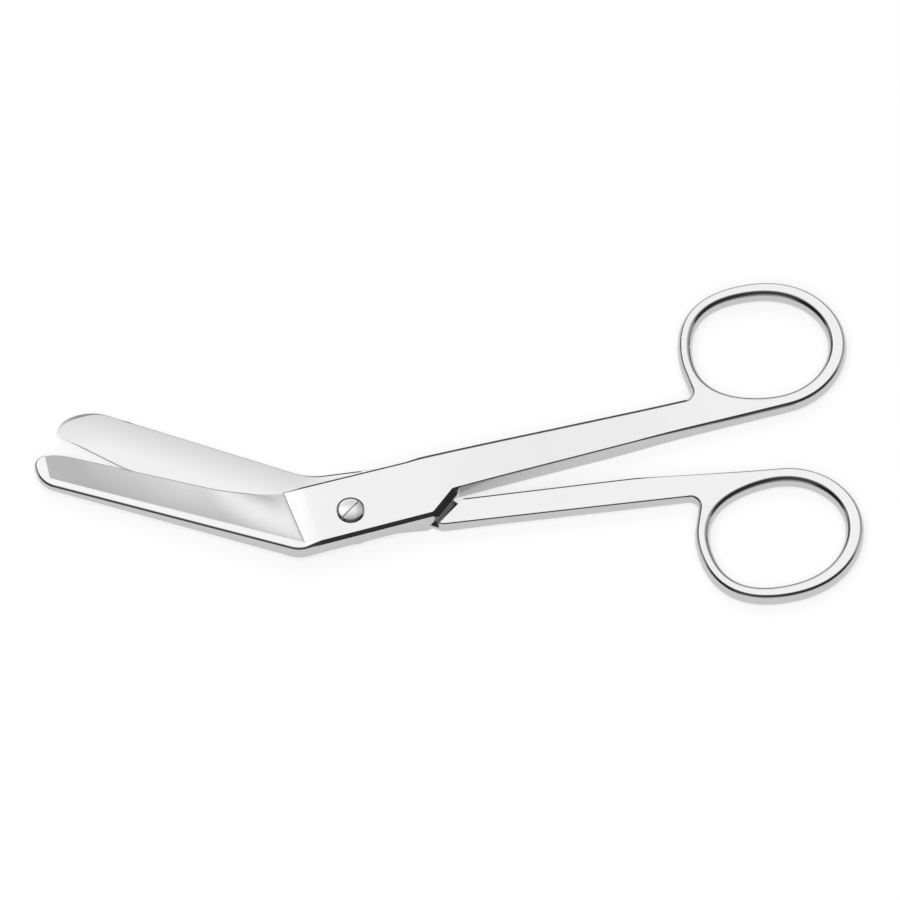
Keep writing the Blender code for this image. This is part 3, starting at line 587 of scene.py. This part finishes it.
def slab(name, outline, hole, top, low, cuts=()):
    """The solid between an outline and its hole; cuts are more places where its faces are sliced."""
    mesh = bmesh.new()
    rows = [skirt(mesh, run, lambda x: top(x) - low(x)) for run in (outline, hole)]
    for level in (0, -1):
        rim = []
        for ring_rows in rows:
            loop = [row[level] for row in ring_rows]
            rim += [mesh.edges.get((a, b)) for a, b in zip(loop, loop[1:] + loop[:1])]
        bmesh.ops.triangle_fill(mesh, use_beauty=True, use_dissolve=True, edges=rim)
    for x in [STRIP_FROM, STRIP_TO, *cuts, *np.arange(KINK_X, SLICES_TO, SLICE)]:
        everything = mesh.verts[:] + mesh.edges[:] + mesh.faces[:]
        bmesh.ops.bisect_plane(mesh, geom=everything, dist=1e-8, plane_co=(x, 0, 0), plane_no=(1, 0, 0))
    for vert in mesh.verts:
        upper, lower = top(vert.co.x), low(vert.co.x)
        vert.co.z = lower + (upper - lower) * vert.co.z
    return solid(name, mesh)


print("slices along a shank:", len(np.arange(KINK_X, SLICES_TO, SLICE)))

# %% [markdown]
# ## Cutting and grinding
# The lap, the screw's seat and the hollow of each blade are taken out of the blank, as in the workshop.
# A hollow runs between the land beside the blade's back and the cutting edge. Rows of points across the
# blade hold its section, and a skin through the rows, closed far above, is the tool that cuts it.

# %% Cutters
BORE_SIDES = 128
CLEAR_ABOVE, CLEAR_BELOW = 12 * mm, -5 * mm


def prism(name, corners, low, high):
    mesh = bmesh.new()
    base = mesh.faces.new([mesh.verts.new((*corner[:2], low)) for corner in corners])
    raised = bmesh.ops.extrude_face_region(mesh, geom=[base])["geom"]
    raised = [item for item in raised if isinstance(item, bmesh.types.BMVert)]
    bmesh.ops.translate(mesh, verts=raised, vec=(0, 0, high - low))
    return solid(name, mesh)


def turned(name, profile, sides=BORE_SIDES):
    """A piece turned about Z, from (radius, height) pairs that run down its outer side."""
    mesh = bmesh.new()
    points = [mesh.verts.new((radius, 0, height)) for radius, height in profile]
    lines = [mesh.edges.new(pair) for pair in zip(points, points[1:])]
    spun = points + lines
    bmesh.ops.spin(mesh, geom=spun, cent=(0, 0, 0), axis=(0, 0, 1), angle=math.tau, steps=sides)
    bmesh.ops.remove_doubles(mesh, verts=mesh.verts, dist=1e-7)
    return solid(name, mesh)


def carve(obj, tools, operation="DIFFERENCE"):
    """Applies one exact Boolean per tool and removes the tools."""
    for tool in tools:
        boolean = obj.modifiers.new(tool.name, "BOOLEAN")
        boolean.operation, boolean.solver, boolean.object = operation, "EXACT", tool
    bpy.context.view_layer.update()
    evaluated = obj.evaluated_get(bpy.context.evaluated_depsgraph_get())
    carved = bpy.data.meshes.new_from_object(evaluated)
    obj.modifiers.clear()
    obj.data = carved
    for tool in tools:
        bpy.data.objects.remove(tool)


def lofted(name, rows, clear, finish=0):
    """A tool whose working face runs through rows of points and whose other side is at a clear level."""
    mesh = bmesh.new()
    loops = []
    for row in rows:
        corners = [*row, (*row[-1][:2], clear), (*row[0][:2], clear)]
        loops.append([mesh.verts.new(corner) for corner in corners])
    for loop, following in zip(loops, loops[1:]):
        for index, vert in enumerate(loop):
            after = (index + 1) % len(loop)
            mesh.faces.new((vert, loop[after], following[after], following[index]))
    for cap in (loops[0], loops[-1]):
        mesh.faces.new(cap)
    bmesh.ops.triangulate(mesh, faces=[face for face in mesh.faces if len(face.verts) == 4])
    return solid(name, mesh, finish)


print("sides of a turned piece:", BORE_SIDES)

# %% [markdown]
# The grinding wheel leaves a shallow hollow that ends in a heel at the strip and thins the blade to its
# cutting edge. Its last quarter of a millimetre is the broken cutting edge, which falls more steeply and
# shows as a fine line. A few numbers describe each row: where the land ends, where the edge is, the sag
# between the two and the lean of the row along the blade.

# %% Hollow sections
GRIND_STATIONS, GRIND_ACROSS, GRIND_BEFORE, PAST_EDGE = 70, 48, -0.15, 1.1
GRIND_SAG, GRIND_STEP, GRIND_LEAN = 0.02, 0.3 * mm, (-0.06, 0.09)
CUT_BREAK, BREAK_FALL = 0.25 * mm, 0.5
GRIND_HEEL_FROM, GRIND_TIP_FROM, GRIND_TIP_RISE = -22 * mm, -40 * mm, 0.55 * mm
REAR_GRIND_TO = -52 * mm


def thinned(x, thin, rise):
    """A cutting edge's level: thin along the blade, and a little fuller at the tip."""
    return thin + rise * smooth_step((GRIND_TIP_FROM - x) / (GRIND_TIP_FROM - TIP_X))


def heel_rise(x, t):
    """How far the hollow has risen to the strip's level, which it does beside the cutting edge."""
    return smooth_step((x - GRIND_HEEL_FROM) / (STRIP_TO - GRIND_HEEL_FROM)) * max(t, 0) ** 1.4


def grind_rows(back, cut_y, surface, edge_level, far_x, outward):
    """Rows across a blade's hollow, in its upper face (outward 1) or its lower face (-1)."""
    stretch = math.hypot(1, back[1])
    rows = []
    for share in np.linspace(0, 1, GRIND_STATIONS):
        x = STRIP_TO + (far_x - STRIP_TO) * share
        lean = GRIND_LEAN[0] + (GRIND_LEAN[1] - GRIND_LEAN[0]) * share
        back_y, edge_y = on_line(*back, x)[1], cut_y(x)
        land_y = back_y + math.copysign(LAND_WIDTH + SPINE_ARRIS, edge_y - back_y) * stretch
        sag = outward * GRIND_SAG * abs(edge_y - land_y) / stretch
        land_z, edge_z = surface(x), edge_level(x)
        row = []
        broken = 1 - max(outward, 0) * CUT_BREAK / abs(edge_y - land_y)
        for t in [*np.linspace(GRIND_BEFORE, broken, GRIND_ACROSS), 1.0, PAST_EDGE]:
            y = land_y + (edge_y - land_y) * t
            z = land_z + (edge_z - land_z) * t - 4 * sag * t * (1 - t)
            z += (surface(STRIP_TO) - outward * GRIND_STEP - edge_z) * heel_rise(x, t)
            z -= outward * BREAK_FALL * max(t - broken, 0) * abs(edge_y - land_y)
            row.append((x + lean * (y - (land_y + edge_y) / 2), y, z))
        rows.append(row)
    return rows


print("heel rise beside the edge at the strip:", heel_rise(STRIP_TO, 1.0))

# %% [markdown]
# The inner face of the rear blade isn't quite flat. On real scissors it falls a little towards the back,
# so that the blades meet along their cutting edges alone. The skin of this cut follows the curved back,
# which it finds among the points of the outline, and it also breaks the sharp rim there and at the tip.

# %% The relief of the rear blade's inner face
RELIEF_WIDTH, RELIEF_DEPTH, RELIEF_LEAST = 7.5 * mm, 0.4 * mm, 0.08
RELIEF_FROM, RELIEF_RUN, RELIEF_BEFORE = 3 * mm, 12 * mm, -0.25
BACK_BREAK, TIP_BREAK, TIP_BREAK_RUN = 0.3 * mm, 0.8 * mm, 5 * mm


def blade_back(outline):
    """The outline's points on the back of the rear blade, in the order of their x."""
    found = []
    for x, y in outline.points:
        middle_y = on_line(REAR_CUT_BEND, REAR_SPINE_SLOPE, x)[1] + RELIEF_WIDTH
        if x < RELIEF_FROM + 5 * mm and y > min(middle_y, REAR_TIP.y - SLIVER):
            found.append((x, y))
    return sorted(found)


def relief_rows(outline):
    """Rows across the slight fall of the inner face towards the blade's back."""
    back_xs, back_ys = zip(*blade_back(outline))
    rows = []
    for share in np.linspace(0, 1, GRIND_STATIONS):
        x = RELIEF_FROM + (REAR_TIP.x - SPINE_ARRIS - RELIEF_FROM) * share
        back_y = np.interp(x, back_xs, back_ys)
        full = smooth_step((RELIEF_FROM - x) / RELIEF_RUN)
        depth = RELIEF_DEPTH * (RELIEF_LEAST + (1 - RELIEF_LEAST) * full)
        at_tip = smooth_step((GRIND_TIP_FROM - x) / TIP_BREAK_RUN)
        broken = 1 - (BACK_BREAK + (TIP_BREAK - BACK_BREAK) * at_tip) / RELIEF_WIDTH
        row = []
        for t in [*np.linspace(RELIEF_BEFORE, broken, GRIND_ACROSS), 1.0, PAST_EDGE]:
            fall = depth * t * abs(t) + BREAK_FALL * max(t - broken, 0) * RELIEF_WIDTH
            row.append((x, back_y - RELIEF_WIDTH * (1 - t), REAR_LAP_TOP - fall))
        rows.append(row)
    return rows


print("points on the blade's back:", len(blade_back(rear_outline())))

# %% [markdown]
# ## Both halves, ground and drilled
# The screw's head sinks into a seat in the front half, and its stem fills a plain bore in both.

# %% Build the halves
HEAD_RADIUS, HEAD_PLAY, HEAD_SEAT = 2.32 * mm, 0.2 * mm, 1.3 * mm
STEM_RADIUS, STEM_PLAY = 1.25 * mm, 0.06 * mm


def bore_profile(seat):
    wall, head, ledge = STEM_RADIUS + STEM_PLAY, HEAD_RADIUS + HEAD_PLAY, FRONT_TOP - HEAD_SEAT
    top = [(0, CLEAR_ABOVE), (wall, CLEAR_ABOVE)]
    if seat:
        top = [(0, CLEAR_ABOVE), (head, CLEAR_ABOVE), (head, ledge), (wall, ledge)]
    return [*top, (wall, CLEAR_BELOW), (0, CLEAR_BELOW)]


def build_front():
    hole = hole_outline(FRONT_RING, FRONT_RING_TILT)
    half = slab("front_steel", front_outline(), hole, front_top, front_low)
    way = (FRONT_STEP_TOP - FRONT_STEP_FOOT).normalized()
    below, above = FRONT_STEP_FOOT - way * (0.4 * mm), FRONT_STEP_TOP + way * (6 * mm)
    corners = [(-70 * mm, -20 * mm), (below.x, -20 * mm), below, above, (-70 * mm, 60 * mm)]
    lap = prism("front_lap", corners, -3 * mm, FRONT_UNDER)
    bore = turned("front_bore", bore_profile(seat=True))
    rows = grind_rows(
        (SPINE_FOOT, SPINE_SLOPE),
        lambda x: max(on_line(CUT_POINT, CUT_SLOPE, x)[1], LAP_HIGH),
        front_top,
        lambda x: thinned(x, FRONT_UNDER + EDGE_THICK, GRIND_TIP_RISE),
        TIP_LAND_FROM,
        1,
    )
    carve(half, [lap, bore, lofted("front_hollow", rows, CLEAR_ABOVE, 1)])
    half.data.transform(Matrix.Rotation(FRONT_TURN, 4, "Z"))
    return half


def build_rear():
    hole, rise = hole_outline(REAR_RING, REAR_RING_TILT), (REAR_RISE_X, REAR_RISE_X + 2 * SLIVER)
    half = slab("rear_steel", rear_outline(), hole, rear_top, rear_low, rise)
    way = (REAR_STEP_TOP - REAR_STEP_FOOT).normalized()
    above, left = REAR_STEP_TOP + way * (1.5 * mm), REAR_RISE_X - SLIVER
    below = REAR_STEP_FOOT + way * ((left - REAR_STEP_FOOT.x) / way.x)
    corners = [(left, 60 * mm), below, above, (above.x, 60 * mm)]
    lap = prism("rear_lap", corners, REAR_LAP_TOP - SLIVER / 4, 9 * mm)
    bore = turned("rear_bore", bore_profile(seat=False))
    cut_slope = (REAR_CUT_BEND[1] - REAR_HEEL[1]) / (REAR_CUT_BEND[0] - REAR_HEEL[0])
    tip_slope = (REAR_CUT_BEND[1] - REAR_TIP_FOOT.y) / (REAR_CUT_BEND[0] - REAR_TIP_FOOT.x)
    rows = grind_rows(
        (REAR_SPINE_POINT, REAR_SPINE_SLOPE),
        lambda x: max(on_line(REAR_CUT_BEND, slope, x)[1] for slope in (cut_slope, tip_slope)),
        rear_low,
        lambda x: thinned(x, REAR_LAP_TOP - EDGE_THICK, 0),
        REAR_GRIND_TO,
        -1,
    )
    relief = lofted("rear_relief", relief_rows(rear_outline()), CLEAR_ABOVE)
    carve(half, [lap, bore, lofted("rear_hollow", rows, CLEAR_BELOW, 1), relief])
    half.data.transform(Matrix.Rotation(REAR_TURN, 4, "Z"))
    return half


front_steel, rear_steel = build_front(), build_rear()
for half in (front_steel, rear_steel):
    print(half.name, "faces:", len(half.data.polygons))

# %% [markdown]
# ## The screw
# A low domed head with one narrow slot, turned on a lathe. The rim is rounded, so that it catches a thin
# line of light inside the dark gap round it.

# %% Build the screw
HEAD_RIM, HEAD_CROWN, RIM_ROUND = 0.25 * mm, 0.3 * mm, 0.34 * mm
SLOT_WIDTH, SLOT_DEPTH, SLOT_TURN = 0.24 * mm, 0.6 * mm, math.radians(37)


def build_screw():
    sphere = (HEAD_RADIUS**2 + HEAD_CROWN**2) / (2 * HEAD_CROWN)
    rim = FRONT_TOP + HEAD_RIM
    profile = []
    for radius in np.linspace(0, HEAD_RADIUS - RIM_ROUND, 20):
        profile.append((radius, rim + HEAD_CROWN - sphere + math.sqrt(sphere**2 - radius**2)))
    shoulder = profile[-1][1] - RIM_ROUND
    for angle in np.radians(np.linspace(30, 90, 6)):
        spoke = (math.sin(angle), math.cos(angle))
        profile.append((HEAD_RADIUS - RIM_ROUND + RIM_ROUND * spoke[0], shoulder + RIM_ROUND * spoke[1]))
    seat = FRONT_TOP - HEAD_SEAT + HEAD_PLAY
    profile += [(HEAD_RADIUS, seat), (STEM_RADIUS, seat), (STEM_RADIUS, 0), (0, 0)]
    screw = turned("screw_steel", profile)
    long, wide = 4 * mm, SLOT_WIDTH / 2
    floor = rim + HEAD_CROWN - SLOT_DEPTH
    slot = prism("slot", [(-long, -wide), (long, -wide), (long, wide), (-long, wide)], floor, floor + long)
    slot.data.transform(Matrix.Rotation(SLOT_TURN, 4, "Z"))
    carve(screw, [slot])
    return screw


screw_steel = build_screw()
print("screw faces:", len(screw_steel.data.polygons))

# %% [markdown]
# ## Dressing the model
# Rounded rims should shade smoothly and the flat faces should stay flat, so normals follow the large
# faces and only steep edges are sharp. Each piece then rides on a body of the frame, which moves it, and
# replaces the CAD node whose place it takes.

# %% Dress the pieces
SHARP_ANGLE = math.radians(24)


def dress(piece, body, cad_node):
    piece.data.shade_smooth()
    piece.data.set_sharp_from_angle(angle=SHARP_ANGLE)
    weighted = piece.modifiers.new("flat_faces_lead", "WEIGHTED_NORMAL")
    weighted.keep_sharp = True
    weighted.weight = 100
    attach(piece, body)
    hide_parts(cad_node)


dress(front_steel, "front", "front_half")
dress(rear_steel, "rear", "rear_half")
dress(screw_steel, "rear", "pivot_screw")
print("dressed:", front_steel.name, rear_steel.name, screw_steel.name)

# %% [markdown]
# ## The page
# The page under the scissors is plain white. A glow that only the camera and the reflections see lifts
# it to white, and the part of the paper that is left in the mix keeps the shadow.

# %% Floor
FLOOR_LIFT = 0.68


def build_floor():
    bpy.ops.mesh.primitive_plane_add(size=3.0, location=(0, 0, -0.02 * mm))
    floor = bpy.context.object
    floor.name = "floor"
    material = bpy.data.materials.new("white_page")
    material.use_nodes = True
    tree = material.node_tree
    shader = tree.nodes["Principled BSDF"]
    shader.inputs["Base Color"].default_value = (0.9, 0.9, 0.9, 1)
    shader.inputs["Roughness"].default_value = 1.0
    shader.inputs["Specular IOR Level"].default_value = 0.0
    glow = node(tree, "ShaderNodeEmission", inputs={"Color": (1, 1, 1, 1), "Strength": 1.0})
    camera_ray = node(tree, "ShaderNodeLightPath", output="Is Camera Ray")
    glossy_ray = node(tree, "ShaderNodeLightPath", output="Is Glossy Ray")
    seen = (camera_ray + glossy_ray) * FLOOR_LIFT
    paper = Value(tree, shader.outputs[0])
    mixed = node(tree, "ShaderNodeMixShader", inputs={0: seen, 1: paper, 2: glow})
    tree.links.new(mixed.socket, tree.nodes["Material Output"].inputs["Surface"])
    floor.data.materials.append(material)
    return floor


print("floor:", build_floor().name)

# %% [markdown]
# ## Light
# Polished steel shows what stands round it. Here the far ceiling is bright and the near side is dark, and
# a dark band lies low on the far side: the narrow chamfers along the far rims mirror it as thin dark
# lines. The world's brightness depends on the direction alone, in two ramps: one goes from the far
# horizon over the head to the near one, the other from right to left. One soft lamp adds the shadow.

# %% World and lamp
LOOK_TURN = math.radians(11)
RIGHT_WAY = Vector((math.cos(LOOK_TURN), -math.sin(LOOK_TURN), 0))
FAR_WAY = Vector((math.sin(LOOK_TURN), math.cos(LOOK_TURN), 0))
SKY_STOPS = (
    (0.0, 0.03),
    (0.085, 0.05),
    (0.125, 0.52),
    (0.165, 0.78),
    (0.21, 0.8),
    (0.27, 0.67),
    (0.345, 0.96),
    (0.39, 0.86),
    (0.47, 0.4),
    (0.56, 0.06),
    (0.87, 0.04),
    (0.92, 0.14),
    (1.0, 0.42),
)
SIDE_STOPS = (
    (0.0, 0.3),
    (0.22, 0.36),
    (0.36, 0.5),
    (0.43, 0.79),
    (0.5, 0.8),
    (0.66, 0.96),
    (0.74, 0.8),
    (0.82, 0.13),
    (0.92, 0.12),
    (1.0, 0.36),
)
SKY_LEVEL = 2.14
LAMP_PLACE, LAMP_SIZE, LAMP_WATTS = Vector((-0.2, -0.75, 1.3)), 1.6, 25


def build_world():
    world = bpy.data.worlds.new("studio")
    bpy.context.scene.world = world
    world.use_nodes = True
    tree = world.node_tree
    direction = node(tree, "ShaderNodeTexCoord", output="Generated")
    height = node(tree, "ShaderNodeSeparateXYZ", inputs={0: direction}, output="Z")
    dot = {"operation": "DOT_PRODUCT"}
    away = node(tree, "ShaderNodeVectorMath", dot, {0: direction, 1: FAR_WAY}, "Value")
    left = node(tree, "ShaderNodeVectorMath", dot, {0: direction, 1: -RIGHT_WAY}, "Value")
    over_head = height.math("ARCTAN2", height, away) * (1 / math.pi)
    sky = node(tree, "ShaderNodeValToRGB", {"stops": SKY_STOPS}, {0: over_head})
    tree.links.new(sky.socket, tree.nodes["Background"].inputs["Color"])
    side = node(tree, "ShaderNodeValToRGB", {"stops": SIDE_STOPS}, {0: left * 0.5 + 0.5})
    tree.links.new((side * SKY_LEVEL).socket, tree.nodes["Background"].inputs["Strength"])


def build_lamp():
    data = bpy.data.lights.new("ceiling_lamp", "AREA")
    data.shape, data.size, data.energy = "DISK", LAMP_SIZE, LAMP_WATTS
    lamp = bpy.data.objects.new("ceiling_lamp", data)
    lamp.location = LAMP_PLACE
    lamp.rotation_euler = (-LAMP_PLACE).to_track_quat("-Z", "Y").to_euler()
    lamp.visible_glossy = False
    bpy.context.scene.collection.objects.link(lamp)
    return lamp


build_world()
print("light:", bpy.context.scene.world.name, build_lamp().name)

# %% [markdown]
# ## Camera
# The photograph looks down steeply from a long way off, so that near and far parts have the same scale.
# A very long lens does the same. The camera is placed by numbers read from the photograph: where the
# screw's axis meets the lap's top, and how many pixels a millimetre takes.

# %% Camera
LOOK_TILT = math.radians(28)
LENS, SENSOR_WIDTH, PIXELS_PER_MM, FRAME_PIXELS = 1000, 36, 5.75, 900
PIVOT_PIXEL = (350.1, 509.7)


def build_camera():
    data = bpy.data.cameras.new("camera")
    data.lens, data.sensor_width = LENS, SENSOR_WIDTH
    camera = bpy.data.objects.new("camera", data)
    bpy.context.scene.collection.objects.link(camera)
    up_way = FAR_WAY * math.cos(LOOK_TILT) + Vector((0, 0, math.sin(LOOK_TILT)))
    back_way = FAR_WAY * -math.sin(LOOK_TILT) + Vector((0, 0, math.cos(LOOK_TILT)))
    middle = FRAME_PIXELS / 2 - 0.5
    target = Vector((0, 0, FRONT_TOP))
    target += RIGHT_WAY * ((middle - PIVOT_PIXEL[0]) / PIXELS_PER_MM * mm)
    target += up_way * ((PIVOT_PIXEL[1] - middle) / PIXELS_PER_MM * mm)
    distance = FRAME_PIXELS / PIXELS_PER_MM * mm * LENS / SENSOR_WIDTH
    camera.location = target + back_way * distance
    camera.rotation_mode = "QUATERNION"
    camera.rotation_quaternion = Matrix((RIGHT_WAY, up_way, back_way)).transposed().to_quaternion()
    data.clip_end = distance * 3
    return camera


bpy.context.scene.camera = build_camera()
bpy.context.scene.view_settings.view_transform = "Standard"
print("camera at, m:", [round(value, 2) for value in bpy.context.scene.camera.location])
